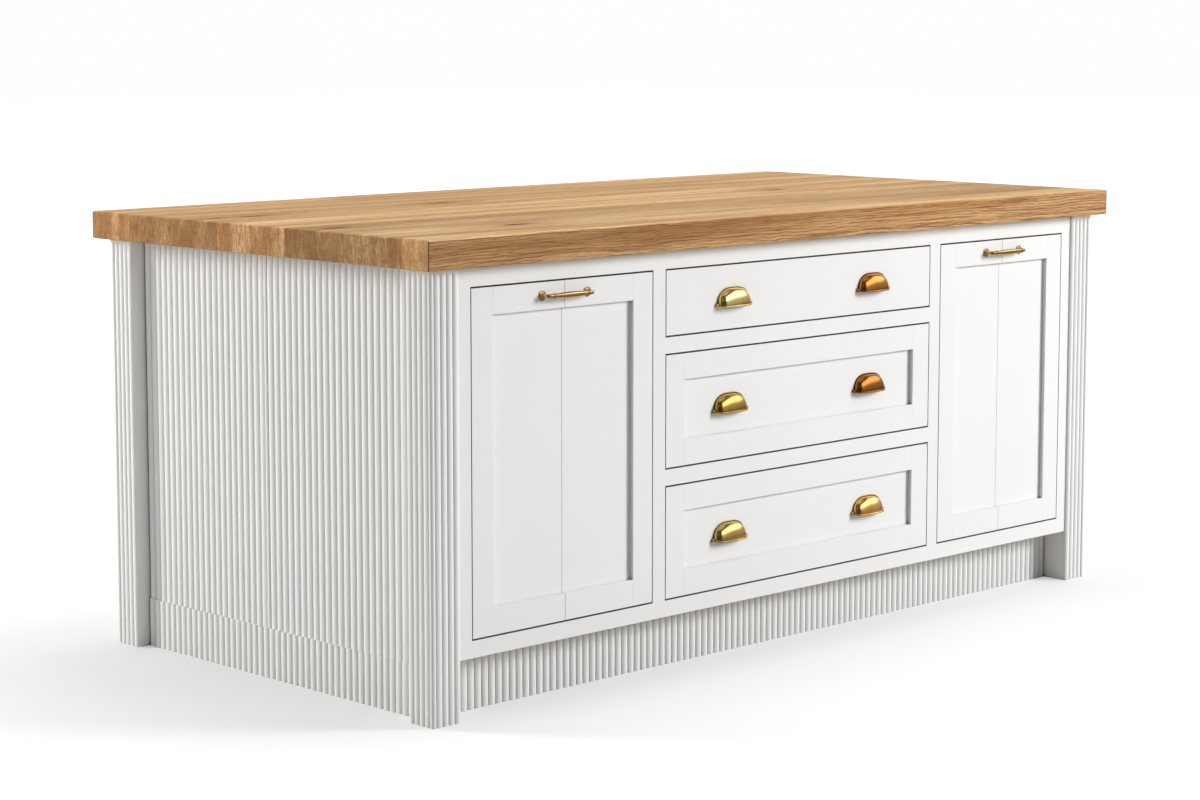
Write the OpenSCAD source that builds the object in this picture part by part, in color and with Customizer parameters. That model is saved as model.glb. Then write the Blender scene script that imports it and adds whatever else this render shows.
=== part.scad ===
// Kitchen island with an oak worktop, fluted corner posts and reeded side, back and plinth
// panels. Three inset drawers stand between two tall pull-outs. Millimetres, +Z up, front
// towards -Y, origin on the floor under the middle of the island.

/* [Overall] */
// Height of the worktop's top above the floor
height = 900; // [870:1:950]
// Length of the body over its corner posts
body_l = 2000; // [1950:10:2400]
// Depth of the body over its corner posts
body_d = 1000; // [900:10:1200]

/* [Worktop] */
// Thickness of the solid worktop
worktop_t = 56; // [40:1:60]
// How far the worktop stands out past the posts on every side
overhang = 25; // [22:1:60]
// Chamfer along every edge of the worktop
worktop_arris = 2; // [1:0.5:4]

/* [Corner posts] */
// Width of the square corner posts
post_w = 70; // [66:1:84]
// Radius of the round bead on a post's outer corner
corner_bead_r = 5.4; // [4.5:0.1:7]
// Width of one reed on a post
post_reed = 14.8; // [12:0.1:18]
// Depth of the groove between two reeds on a post
post_reed_depth = 3.2; // [2:0.1:4]
// Height of the plain band between a post's reeds and the worktop
post_band = 8; // [4:1:30]

/* [Face frame] */
// Thickness of the frame's stiles and rails
frame_t = 22; // [20:1:24]
// How far the frame stands back from the posts' front faces
frame_setback = 6; // [3:1:12]
// Width of the stile beside each post
outer_stile_w = 32; // [28:1:44]
// Width of the stiles on both sides of the drawers
mid_stile_w = 34; // [30:1:44]
// Height of the rail under the worktop
top_rail_h = 38; // [32:1:60]
// Height of the two rails between the drawers
drawer_rail_h = 33; // [28:1:40]
// Height of the bottom rail
bottom_rail_h = 33; // [30:1:45]
// Height of the recessed plinth under the frame
toe_h = 115; // [100:1:130]
// Width of the left pull-out's opening
left_w = 476; // [440:1:490]
// Width of the right pull-out's opening
right_w = 436; // [420:1:490]
// Height of the top drawer's opening
top_drawer_h = 134; // [130:1:160]

/* [Fronts] */
// Thickness of the drawer and pull-out fronts
front_t = 22; // [20:1:24]
// Gap round each inset front
front_gap = 2.5; // [2:0.1:3]
// Width of the stiles and rails round a front's panel
shaker_w = 52; // [45:1:55]
// How far a front's panel lies behind its frame
recess = 9; // [6:1:10]
// Width of the joint between a pull-out front's two leaves
leaf_joint = 1; // [0.5:0.1:1.5]

/* [Side, back and plinth panels] */
// Thickness of a reeded panel over its reeds
panel_t = 12; // [9:1:14]
// Width of one reed on a side or back panel
panel_reed = 18.9; // [15:0.1:22]
// Depth of the groove between two reeds on a panel
panel_reed_depth = 4; // [2:0.1:5]
// How far the side and back panels lie behind the posts' faces
panel_setback = 32; // [24:1:34]
// Length of the front one of the two panels on each side
front_sheet_l = 454; // [400:1:480]
// Width of the narrow reed where two side panels meet
joint_reed = 9; // [7:0.5:14]
// Height of the skirting under the side and back panels
skirting_h = 100; // [80:1:130]
// Thickness of the skirting over its reeds
skirting_t = 15; // [13:1:18]
// Width of one reed on the skirting
skirting_reed = 18.4; // [15:0.1:22]
// Thickness of the front plinth over its reeds
plinth_t = 18; // [15:1:22]
// Width of one reed on the front plinth
plinth_reed = 17.7; // [15:0.1:22]
// How far the front plinth lies behind the posts' front faces
plinth_setback = 61; // [50:1:65]
// Width of the battens that carry the side panels
batten_w = 60; // [40:1:80]

/* [Cabinet] */
// Thickness of the cabinet's boards
board_t = 18; // [16:1:19]
// Thickness of the board behind the drawers
back_t = 9; // [6:1:12]
// Room between a drawer box and the board behind it
rear_room = 47; // [20:1:60]
// Width of the flat rails that carry the worktop
stretcher_w = 80; // [60:1:90]

/* [Adjustable legs] */
// Diameter of a leg's foot
foot_d = 50; // [40:1:60]
// Height of a leg's foot
foot_h = 8; // [5:1:12]
// Diameter of the stem that screws into the leg's sleeve
stem_d = 26; // [20:1:28]
// Outer diameter of the leg's sleeve
sleeve_d = 34; // [32:1:40]
// Diameter of the flange screwed under the cabinet's floor
flange_d = 62; // [50:1:70]
// Thickness of that flange
flange_t = 5; // [4:1:8]
// Length of the sleeve under the cabinet's floor
sleeve_l = 60; // [50:1:70]
// Distance from the cabinet's front edge to the front legs' axes
front_leg_in = 92; // [88:1:120]
// Distance from the cabinet's rear edge to the rear legs' axes
rear_leg_in = 56; // [50:1:120]
// Distance from the cabinet's ends to the outer legs' axes
end_leg_in = 50; // [45:1:80]
// Width of the clip that holds the plinth to a front leg
clip_w = 30; // [20:1:34]
// Height of that clip
clip_h = 20; // [15:1:30]

/* [Runners] */
// Length of a telescopic runner
runner_l = 500; // [450:10:550]
// Thickness of a closed runner, and so the room beside each box
runner_t = 12.7; // [12.5:0.1:14]
// Height of a runner
runner_h = 45; // [43:1:50]
// Thickness of the runner's steel
steel_t = 1.4; // [1.2:0.1:1.6]
// Running clearance between the runner's members
runner_play = 0.4; // [0.3:0.05:0.6]
// Height of the runners' middle line over the lower edge of a box
runner_rise = 35; // [30:1:45]

/* [Drawer boxes and pull-out carriers] */
// Thickness of the walls
wall_t = 15; // [12:1:16]
// Thickness of the bottoms and shelves
base_t = 9; // [6:1:12]
// How deep a bottom sits in the grooves of the walls
groove = 6; // [4:1:8]
// Height of a bottom over the lower edge of its walls
base_lift = 12; // [8:1:16]
// Room between an opening's lower edge and the box in it
box_lift = 15; // [10:1:20]
// Room between a drawer box and its opening's upper edge
box_drop = 24; // [15:1:35]
// Room between a carrier's tall front board and its opening's upper edge
carrier_drop = 6; // [4:1:10]
// Height of the left carrier's side walls
carrier_wall_h = 160; // [120:1:200]
// Height of the lowest rails on the right carrier
low_rail_h = 90; // [80:1:110]
// Height of the rails beside the right carrier's upper shelves
shelf_rail_h = 50; // [40:1:70]

/* [Bins] */
// Height of a bin
bin_h = 480; // [400:1:520]
// Thickness of a bin's wall
bin_wall = 3; // [2:0.5:4]
// Room beside each bin
bin_room = 7; // [5:1:12]
// Radius of a bin's upright corners
bin_r = 25; // [15:1:40]
// How far a bin's rim stands out
bin_rim = 4; // [2:0.5:4.5]
// Height of a bin's rim
bin_rim_h = 12; // [8:1:20]

/* [Cup pulls] */
// Width of the cup without its feet
cup_w = 90; // [80:1:110]
// Height of the cup
cup_h = 37; // [34:1:44]
// How far the cup stands out from the front
cup_out = 22; // [18:1:26]
// Squareness of the cup's curves: 2 draws ellipses, more draws fuller corners
cup_square = 2.8; // [2:0.1:3.5]
// Thickness of the cup's wall
cup_t = 2; // [1.5:0.1:2.5]
// Width of the rim that lies round the cup on the front
cup_rim = 2.5; // [1.5:0.1:4]
// Height of the lip along the cup's lower edge
cup_lip = 3.5; // [2.5:0.1:5]
// Diameter of the foot at each end of the cup
cup_foot_d = 9; // [7:0.5:10]
// How far the feet stand out from the front
cup_foot_out = 7; // [5:0.5:9]
// Distance between a cup's two screws
cup_screws = 64; // [56:1:66]
// Height of those screws over the cup's lower edge
cup_screw_z = 14; // [12:1:16]
// Distance of each cup from the nearer end of its drawer's opening
cup_inset = 193; // [125:1:225]

/* [Bar handles] */
// Distance between the handle's two roses
bar_l = 117; // [96:1:160]
// Distance of the bar's axis from the front
bar_out = 18; // [15:0.5:20]
// Diameter of the bar at its ends
bar_end_d = 8; // [7:0.1:9]
// Diameter of the bar in its middle
bar_mid_d = 12; // [9.5:0.1:13]
// Radius of the bend at each end of the bar
bar_bend = 6; // [5:0.5:7]
// Diameter of the rings near the bar's ends
bar_ring_d = 10.8; // [10:0.1:12]
// Width of each ring
bar_ring_w = 2.6; // [2:0.1:4]
// Distance of each ring from the axis of its rose
bar_ring_in = 14; // [11:1:20]
// Diameter of a rose
rose_d = 19.6; // [16:0.1:22]
// Thickness of a rose
rose_t = 2.5; // [2:0.1:4]

/* [Screws] */
// Diameter of a handle screw
screw_d = 4; // [3.5:0.1:4]
// Diameter of a handle screw's head
screw_head_d = 8; // [7:0.5:9]
// Height of a handle screw's head
screw_head_h = 2.5; // [2:0.1:3]
// Length of a handle screw inside the handle
screw_grip = 8; // [6:0.5:8]
// Radial clearance round a screw in timber
screw_room = 0.25; // [0.2:0.05:0.5]
// Radial clearance round a screw in its handle
thread_room = 0.1; // [0.08:0.01:0.15]
// Wall of brass round a screw in a cup
boss_wall = 2.5; // [2:0.1:3]

/* [Hidden] */
$fn = 48;

paint = "#e9e8e4";
oak = "#c19a6b";
birch = "#dcc7a0";
brass = "#c79a3a";
steel = "#b4b7ba";
dark_plastic = "#2b2c2e";
grey_plastic = "#8b9095";

// Open line left in each glued joint between two pieces of one group
glue = 0.2;
// Reach of a cutting shape past the surface that it cuts
past = 1;
// Steps along a cup's curved outline
cup_steps = 24;
// Steps along the swelling of a bar handle
bar_steps = 12;

// Heights
body_h = height - worktop_t;
opening_bottom = toe_h + bottom_rail_h;
opening_top = body_h - top_rail_h;
top_drawer_z = opening_top - top_drawer_h;
deep_drawer_h = (top_drawer_z - opening_bottom - 2 * drawer_rail_h) / 2;
lower_rail_z = opening_bottom + deep_drawer_h;
middle_drawer_z = lower_rail_z + drawer_rail_h;
upper_rail_z = middle_drawer_z + deep_drawer_h;
floor_top = toe_h + board_t;

// Left to right: the face frame lies between the posts
inner_x = body_l / 2 - post_w;
left_x0 = -inner_x + outer_stile_w;
left_x1 = left_x0 + left_w;
right_x1 = inner_x - outer_stile_w;
right_x0 = right_x1 - right_w;
drawers_x0 = left_x1 + mid_stile_w;
drawers_x1 = right_x0 - mid_stile_w;
partition_xs = [left_x1 + mid_stile_w / 2, right_x0 - mid_stile_w / 2];

// Front to back
post_y = body_d / 2;
post_in_y = post_y - post_w;
frame_y = -post_y + frame_setback;
cabinet_y0 = frame_y + frame_t;
panel_back_y = post_y - panel_setback - panel_t;
box_y = frame_y + front_t;
back_y = box_y + runner_l + rear_room;
plinth_y = -post_y + plinth_setback;

// Side panels: face, back and the joint between the two on each side
panel_x = body_l / 2 - panel_setback;
panel_back_x = panel_x - panel_t;
sheet_joint_y = -post_in_y + front_sheet_l;

// Each opening is [x0, x1, z0, z1]
drawer_openings = [
    [drawers_x0, drawers_x1, top_drawer_z, opening_top],
    [drawers_x0, drawers_x1, middle_drawer_z, upper_rail_z],
    [drawers_x0, drawers_x1, opening_bottom, lower_rail_z]
];
left_opening = [left_x0, left_x1, opening_bottom, opening_top];
right_opening = [right_x0, right_x1, opening_bottom, opening_top];
openings = concat(drawer_openings, [left_opening, right_opening]);

function mid_x(o) = (o[0] + o[1]) / 2;
function mid_z(o) = (o[2] + o[3]) / 2;
function box_z(o) = o[2] + box_lift;
function runner_z(o) = box_z(o) + runner_rise;

// Radius of a reed that is w wide between grooves that are d deep
function reed_r(w, d) = (w * w / 4 + d * d) / (2 * d);
// Number of reeds of about width w that fill a length
function reed_count(length, w) = round(length / w);

// A rectangular board between two opposite corners
module board(low, high) {
    translate(low) cube(high - low);
}

// A mirrored pair, one on each side of the island's middle plane
module both_sides() {
    children();
    mirror([1, 0, 0]) children();
}

// Outline of a row of reeds on a backing, from x = 0 to length, crests on y = 0, back on y = t.
// The backing starts below the grooves, where neighbouring reeds have already met.
module reeded_outline(length, t, w, depth) {
    count = reed_count(length, w);
    pitch = length / count;
    r = reed_r(pitch, depth);
    intersection() {
        square([length, t]);
        union() {
            translate([0, 2 * depth]) square([length, t]);
            for (i = [0 : count - 1]) {
                translate([(i + 0.5) * pitch, r]) circle(r);
            }
        }
    }
}

// A standing reeded board: it runs along +X from the origin and its crests face -Y
module reeded_board(length, h, t, w, depth) {
    linear_extrude(h) reeded_outline(length, t, w, depth);
}

// Worktop: chamfered on all its edges
module worktop_outline(width) {
    a = worktop_arris;
    polygon([
        [-width / 2 + a, 0], [width / 2 - a, 0], [width / 2, a], [width / 2, worktop_t - a],
        [width / 2 - a, worktop_t], [-width / 2 + a, worktop_t], [-width / 2, worktop_t - a],
        [-width / 2, a]
    ]);
}

module worktop() {
    top_l = body_l + 2 * overhang;
    top_d = body_d + 2 * overhang;
    color(oak) translate([0, 0, body_h]) intersection() {
        rotate([90, 0, 0]) linear_extrude(top_d, center = true) worktop_outline(top_l);
        rotate([90, 0, 90]) linear_extrude(top_l, center = true) worktop_outline(top_d);
    }
}

// Corner post with its outer corner at the origin, reeded on its x = 0 and y = 0 faces
module post_outline() {
    first = 2 * corner_bead_r;
    reeded = post_w - first;
    count = reed_count(reeded, post_reed);
    pitch = reeded / count;
    r = reed_r(pitch, post_reed_depth);
    core = 2 * post_reed_depth;
    intersection() {
        square(post_w);
        union() {
            translate([core, core]) square(post_w);
            translate([corner_bead_r, corner_bead_r]) circle(corner_bead_r);
            for (i = [0 : count - 1]) {
                translate([first + (i + 0.5) * pitch, r]) circle(r);
                translate([r, first + (i + 0.5) * pitch]) circle(r);
            }
        }
    }
}

module post() {
    color(paint) translate([-body_l / 2, -post_y, 0]) {
        linear_extrude(body_h - post_band) post_outline();
        translate([0, 0, body_h - post_band]) cube([post_w, post_w, post_band]);
    }
}

// Face frame
module face_bar(x0, x1, z0, z1) {
    color(paint) board([x0, frame_y, z0], [x1, frame_y + frame_t, z1]);
}

module face_rails() {
    inner = inner_x - outer_stile_w;
    face_bar(-inner, inner, opening_top, body_h);
    face_bar(-inner, inner, toe_h, opening_bottom);
    for (z = [lower_rail_z, upper_rail_z]) {
        face_bar(drawers_x0, drawers_x1, z, z + drawer_rail_h);
    }
}

module face_stiles() {
    both_sides() face_bar(-inner_x, left_x0, toe_h, body_h);
    face_bar(left_x1, drawers_x0, opening_bottom, opening_top);
    face_bar(drawers_x1, right_x0, opening_bottom, opening_top);
}

// Reeded panels on the left side; the right side has their mirror image
module side_panels() {
    rear_l = post_in_y - sheet_joint_y;
    panel_h = body_h - skirting_h;
    color(paint) translate([-panel_x, sheet_joint_y, skirting_h]) {
        rotate([0, 0, -90])
            reeded_board(front_sheet_l, panel_h, panel_t, panel_reed, panel_reed_depth);
        translate([0, glue, 0]) mirror([0, 1, 0]) rotate([0, 0, -90]) {
            reeded_board(joint_reed, panel_h, panel_t, joint_reed, panel_reed_depth / 2);
            translate([joint_reed, 0, 0])
                reeded_board(rear_l - joint_reed - glue, panel_h, panel_t, panel_reed,
                             panel_reed_depth);
        }
    }
}

module back_panels() {
    color(paint) both_sides() translate([inner_x, post_y - panel_setback, skirting_h])
        rotate([0, 0, 180])
            reeded_board(inner_x - glue / 2, body_h - skirting_h, panel_t, panel_reed,
                         panel_reed_depth);
}

// Skirting under the side and back panels: its back lies in line with theirs
module side_skirting() {
    color(paint) translate([-panel_back_x - skirting_t, post_in_y, 0]) rotate([0, 0, -90])
        reeded_board(2 * post_in_y, skirting_h, skirting_t, skirting_reed, panel_reed_depth);
}

module back_skirting() {
    color(paint) translate([inner_x, panel_back_y + skirting_t, 0]) rotate([0, 0, 180])
        reeded_board(2 * inner_x, skirting_h, skirting_t, skirting_reed, panel_reed_depth);
}

module front_plinth() {
    color(paint) translate([-inner_x, plinth_y, 0])
        reeded_board(2 * inner_x, toe_h, plinth_t, plinth_reed, panel_reed_depth);
}

// Battens between the cabinet's sides and the side panels
module side_battens() {
    color(birch) both_sides()
        for (y = [-post_in_y, sheet_joint_y - batten_w / 2, post_in_y - batten_w]) {
            board([-panel_back_x, y, 0], [-inner_x, y + batten_w, body_h]);
        }
}

// Cabinet boards
module cabinet_floor() {
    color(birch) board([-inner_x, cabinet_y0, toe_h], [inner_x, panel_back_y, floor_top]);
}

module cabinet_sides() {
    color(birch) both_sides()
        board([-inner_x, cabinet_y0, floor_top], [-inner_x + board_t, panel_back_y, body_h]);
}

module partitions() {
    color(birch) for (x = partition_xs) {
        board([x - board_t / 2, cabinet_y0, floor_top],
              [x + board_t / 2, panel_back_y, body_h]);
    }
}

// The three bays between the cabinet's sides and its partitions
bay_x0 = concat([-inner_x + board_t], [for (x = partition_xs) x + board_t / 2]);
bay_x1 = concat([for (x = partition_xs) x - board_t / 2], [inner_x - board_t]);

module cabinet_backs() {
    color(birch) for (i = [0 : len(bay_x0) - 1]) {
        board([bay_x0[i], back_y, floor_top], [bay_x1[i], back_y + back_t, body_h]);
    }
}

module top_stretchers() {
    color(birch) for (i = [0 : len(bay_x0) - 1]) {
        for (y = [cabinet_y0, back_y - stretcher_w, panel_back_y - stretcher_w]) {
            board([bay_x0[i], y, body_h - board_t], [bay_x1[i], y + stretcher_w, body_h]);
        }
    }
}

// Adjustable legs: a sleeve under the cabinet's floor and a foot that screws into it
leg_xs = concat([-inner_x + end_leg_in], partition_xs, [inner_x - end_leg_in]);
front_leg_y = cabinet_y0 + front_leg_in;
leg_ys = [front_leg_y, panel_back_y - rear_leg_in];
leg_play = 0.3;

module leg_sleeve() {
    difference() {
        union() {
            translate([0, 0, toe_h - flange_t]) cylinder(h = flange_t, d = flange_d);
            translate([0, 0, toe_h - sleeve_l]) cylinder(h = sleeve_l, d = sleeve_d);
        }
        translate([0, 0, toe_h - sleeve_l - past])
            cylinder(h = sleeve_l - flange_t + past, d = stem_d + 2 * leg_play);
    }
}

module leg_foot() {
    cylinder(h = foot_h, d = foot_d);
    cylinder(h = toe_h - flange_t - 2 * leg_play, d = stem_d);
}

module adjustable_legs() {
    color(dark_plastic) for (x = leg_xs) {
        for (y = leg_ys) {
            translate([x, y, 0]) {
                leg_sleeve();
                leg_foot();
            }
        }
    }
}

module plinth_clips() {
    clip_z = toe_h - sleeve_l + clip_h;
    color(dark_plastic) for (x = leg_xs) {
        difference() {
            board([x - clip_w / 2, plinth_y + plinth_t, clip_z],
                  [x + clip_w / 2, front_leg_y, clip_z + clip_h]);
            translate([x, front_leg_y, clip_z - past])
                cylinder(h = clip_h + 2 * past, d = sleeve_d + glue);
        }
    }
}

// Runners. A section is drawn in the plane of x, outwards from the packer, and of height
module runner_bar(x, toward, z) {
    translate([x, box_y, z]) mirror([toward < 0 ? 1 : 0, 0, 0]) rotate([90, 0, 0])
        mirror([0, 0, 1]) linear_extrude(runner_l) children();
}

// A C section of the runner's steel with its web at x0 and its lips ending at x1
module c_section(x0, x1, h) {
    translate([min(x0, x1), 0]) difference() {
        translate([0, -h / 2]) square([abs(x1 - x0), h]);
        translate([x1 > x0 ? steel_t : -past, -h / 2 + steel_t])
            square([abs(x1 - x0) - steel_t + past, h - 2 * steel_t]);
    }
}

middle_h = runner_h - 2 * (steel_t + runner_play);
slide_h = middle_h - 2 * (steel_t + runner_play);
channel_lip = runner_t - steel_t - 2 * runner_play;
middle_web = steel_t + runner_play;
slide_lip = middle_web + steel_t + runner_play;

module channel_section() {
    c_section(0, channel_lip, runner_h);
}

module middle_section() {
    c_section(middle_web, channel_lip, middle_h);
}

module slide_section() {
    c_section(runner_t, slide_lip, slide_h);
}

// A pair of runner members on the two edges of an opening
module runner_pair(o) {
    color(steel) {
        runner_bar(o[0], 1, runner_z(o)) children();
        runner_bar(o[1], -1, runner_z(o)) children();
    }
}

module runner_channels() {
    for (o = openings) {
        runner_pair(o) channel_section();
    }
}

// Packers bring each runner in line with the edge of its opening
module packer(x0, x1, z) {
    color(birch)
        board([x0, box_y, z - runner_h / 2], [x1, box_y + runner_l, z + runner_h / 2]);
}

module runner_packers() {
    for (o = drawer_openings) {
        packer(bay_x0[1], o[0], runner_z(o));
        packer(o[1], bay_x1[1], runner_z(o));
    }
    packer(bay_x0[0], left_x0, runner_z(left_opening));
    packer(left_x1, bay_x1[0], runner_z(left_opening));
    packer(bay_x0[2], right_x0, runner_z(right_opening));
    packer(right_x1, bay_x1[2], runner_z(right_opening));
}

// Fronts. A piece of a front lies between two heights and two places along the island
module front_bar(x0, x1, z0, z1) {
    board([x0, frame_y, z0], [x1, frame_y + front_t, z1]);
}

module front_panel(x0, x1, z0, z1) {
    board([x0, frame_y + recess, z0], [x1, frame_y + front_t, z1]);
}

// Screw holes through a front and the board behind it, at [x, z] places
module screw_holes(places, y1) {
    for (p = places) {
        translate([p[0], y1 + past, p[1]]) rotate([90, 0, 0])
            cylinder(h = y1 - frame_y + 2 * past, d = screw_d + 2 * screw_room);
    }
}

function cup_places(o) = [for (x = [o[0] + cup_inset, o[1] - cup_inset]) [x, mid_z(o)]];
function cup_screw_places(o) = [
    for (p = cup_places(o), side = [-1, 1])
        [p[0] + side * cup_screws / 2, p[1] - cup_h / 2 + cup_screw_z]
];
function handle_z(o) = o[3] - front_gap - shaker_w / 2;
function bar_screw_places(o) = [
    for (side = [-1, 1]) [mid_x(o) + side * bar_l / 2, handle_z(o)]
];

module slab_front(o) {
    color(paint) difference() {
        front_bar(o[0] + front_gap, o[1] - front_gap, o[2] + front_gap, o[3] - front_gap);
        screw_holes(cup_screw_places(o), box_y);
    }
}

module drawer_front_frame(o) {
    x0 = o[0] + front_gap;
    x1 = o[1] - front_gap;
    z0 = o[2] + front_gap;
    z1 = o[3] - front_gap;
    color(paint) {
        front_bar(x0, x0 + shaker_w, z0, z1);
        front_bar(x1 - shaker_w, x1, z0, z1);
        front_bar(x0 + shaker_w + glue, x1 - shaker_w - glue, z0, z0 + shaker_w);
        front_bar(x0 + shaker_w + glue, x1 - shaker_w - glue, z1 - shaker_w, z1);
    }
}

module drawer_front_panel(o) {
    edge = front_gap + shaker_w;
    color(paint) difference() {
        front_panel(o[0] + edge, o[1] - edge, o[2] + edge, o[3] - edge);
        screw_holes(cup_screw_places(o), box_y);
    }
}

// A pull-out's front has two leaves with a joint between them
module leaf_frame(o) {
    x0 = o[0] + front_gap;
    x1 = mid_x(o) - leaf_joint / 2;
    z0 = o[2] + front_gap;
    z1 = o[3] - front_gap;
    front_bar(x0, x0 + shaker_w, z0, z1);
    front_bar(x0 + shaker_w + glue, x1, z0, z0 + shaker_w);
    front_bar(x0 + shaker_w + glue, x1, z1 - shaker_w, z1);
}

module leaf_panel(o) {
    edge = front_gap + shaker_w;
    front_panel(o[0] + edge, mid_x(o) - leaf_joint / 2, o[2] + edge, o[3] - edge);
}

// Both leaves of an opening: the drawn one and its mirror image
module both_leaves(o) {
    children();
    translate([2 * mid_x(o), 0, 0]) mirror([1, 0, 0]) children();
}

module pullout_front_frame(o) {
    color(paint) difference() {
        both_leaves(o) leaf_frame(o);
        screw_holes(bar_screw_places(o), box_y);
    }
}

module pullout_front_panels(o) {
    color(paint) both_leaves(o) leaf_panel(o);
}

// Boxes: x edges of a box in an opening, between its two runners
function box_x0(o) = o[0] + runner_t;
function box_x1(o) = o[1] - runner_t;
box_end_y = box_y + runner_l;

// A bottom that sits in the grooves of its walls
module box_base(o, grow) {
    z = box_z(o) + base_lift;
    board([box_x0(o) + wall_t - groove - grow, box_y + wall_t - groove - grow, z - grow],
          [box_x1(o) - wall_t + groove + grow, box_end_y - wall_t + groove + grow,
           z + base_t + grow]);
}

// The walls of a box, whose front and back boards have their own heights
module box_walls(o, side_h, front_h, back_h) {
    z = box_z(o);
    x0 = box_x0(o);
    x1 = box_x1(o);
    in0 = x0 + wall_t + glue;
    in1 = x1 - wall_t - glue;
    board([x0, box_y, z], [x0 + wall_t, box_end_y, z + side_h]);
    board([x1 - wall_t, box_y, z], [x1, box_end_y, z + side_h]);
    board([in0, box_y, z], [in1, box_y + wall_t, z + front_h]);
    board([in0, box_end_y - wall_t, z], [in1, box_end_y, z + back_h]);
}

module drawer_box(o) {
    wall_h = o[3] - o[2] - box_lift - box_drop;
    color(birch) {
        difference() {
            box_walls(o, wall_h, wall_h, wall_h);
            box_base(o, glue);
            screw_holes(cup_screw_places(o), box_y + wall_t);
        }
        box_base(o, 0);
    }
}

// The left carrier is a low box with a tall front board
function tall_h(o) = o[3] - carrier_drop - box_z(o);

module left_carrier() {
    o = left_opening;
    color(birch) {
        difference() {
            box_walls(o, carrier_wall_h, tall_h(o), carrier_wall_h);
            box_base(o, glue);
            screw_holes(bar_screw_places(o), box_y + wall_t);
        }
        box_base(o, 0);
    }
}

// The right carrier has tall boards in front and behind, with two more shelves between them
module right_carrier() {
    o = right_opening;
    shelf_step = tall_h(o) / 3;
    color(birch) {
        difference() {
            box_walls(o, low_rail_h, tall_h(o), tall_h(o));
            box_base(o, glue);
            screw_holes(bar_screw_places(o), box_y + wall_t);
        }
        box_base(o, 0);
        for (i = [1, 2]) {
            carrier_shelf(o, box_z(o) + i * shelf_step);
        }
    }
}

module carrier_shelf(o, z) {
    y0 = box_y + wall_t + glue;
    y1 = box_end_y - wall_t - glue;
    board([box_x0(o) + wall_t + glue, y0, z], [box_x1(o) - wall_t - glue, y1, z + base_t]);
    board([box_x0(o), y0, z], [box_x0(o) + wall_t, y1, z + shelf_rail_h]);
    board([box_x1(o) - wall_t, y0, z], [box_x1(o), y1, z + shelf_rail_h]);
}

// Two bins that stand one behind the other in the left carrier
bin_x0 = box_x0(left_opening) + wall_t + bin_room;
bin_x1 = box_x1(left_opening) - wall_t - bin_room;
bin_y0 = box_y + wall_t + bin_room;
bin_d = (runner_l - 2 * wall_t - 3 * bin_room) / 2;
bin_z = box_z(left_opening) + base_lift + base_t;

// A block with round upright corners
module round_block(l, d, h, r) {
    translate([r, 0, 0]) cube([l - 2 * r, d, h]);
    translate([0, r, 0]) cube([l, d - 2 * r, h]);
    for (x = [r, l - r], y = [r, d - r]) {
        translate([x, y, 0]) cylinder(h = h, r = r);
    }
}

module bin(l, d) {
    inner = 2 * bin_wall;
    difference() {
        union() {
            round_block(l, d, bin_h, bin_r);
            translate([-bin_rim / 2, -bin_rim / 2, bin_h - bin_rim_h])
                round_block(l + bin_rim, d + bin_rim, bin_rim_h, bin_r + bin_rim / 2);
        }
        translate([bin_wall, bin_wall, bin_wall])
            round_block(l - inner, d - inner, bin_h, bin_r - bin_wall);
    }
}

module left_bins() {
    color(grey_plastic) for (y = [bin_y0, bin_y0 + bin_d + bin_room]) {
        translate([bin_x0, y, bin_z]) bin(bin_x1 - bin_x0, bin_d);
    }
}

// Cup pull, half as wide as half. Its reach at x, out from the front or up along it, is
// most in the middle and falls to nothing at its ends
function cup_reach(x, half, most) =
    most * pow(max(0, 1 - pow(abs(x) / half, cup_square)), 1 / cup_square);
// Places along a cup, closer together near its ends
function cup_stations(half) = [for (i = [0 : cup_steps]) -half * cos(180 * i / cup_steps)];
// One side of a cup's outline, grown by e
function cup_line(half, most, e) = [
    for (x = cup_stations(half))
        [x * (half + e) / half, cup_reach(x, half, most) * (most + e) / most]
];

// The solid under a cup's surface: round about its line on the front, then drawn out to h
module cup_form(half, out, h) {
    scale([1, 1, h / out]) rotate([0, 90, 0]) rotate_extrude()
        polygon([for (p = cup_line(half, out, 0)) [p[1], p[0]]]);
}

module cup_pull() {
    half = cup_w / 2;
    room = 2 * (cup_w + cup_h);
    boss_r = screw_d / 2 + thread_room + boss_wall;
    bead = cup_t / 2;
    difference() {
        union() {
            intersection() {
                cup_form(half, cup_out, cup_h);
                translate([-room / 2, -room, 0]) cube(room);
            }
            rotate([90, 0, 0]) linear_extrude(cup_t) polygon(cup_line(half, cup_h, cup_rim));
            mirror([0, 1, 0]) linear_extrude(cup_lip) polygon(cup_line(half, cup_out, bead));
            for (side = [-1, 1]) {
                translate([side * (half + cup_rim), 0, cup_foot_d / 2]) rotate([90, 0, 0])
                    cylinder(h = cup_foot_out, d = cup_foot_d);
            }
        }
        difference() {
            cup_form(half - cup_t, cup_out - cup_t, cup_h - cup_t);
            for (side = [-1, 1]) {
                translate([side * cup_screws / 2, past, cup_screw_z]) rotate([90, 0, 0])
                    cylinder(h = cup_out, r = boss_r);
            }
        }
        for (side = [-1, 1]) {
            translate([side * cup_screws / 2, past, cup_screw_z]) rotate([90, 0, 0])
                cylinder(h = screw_grip + past + thread_room, d = screw_d + 2 * thread_room);
        }
        translate([-room / 2, 0, -room / 2]) cube(room);
        translate([-room / 2, -room / 2, -room]) cube(room);
    }
}

module drawer_cups(o, seat_y) {
    color(brass) for (p = cup_places(o)) {
        translate([p[0], seat_y, p[1] - cup_h / 2]) cup_pull();
    }
}

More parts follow.
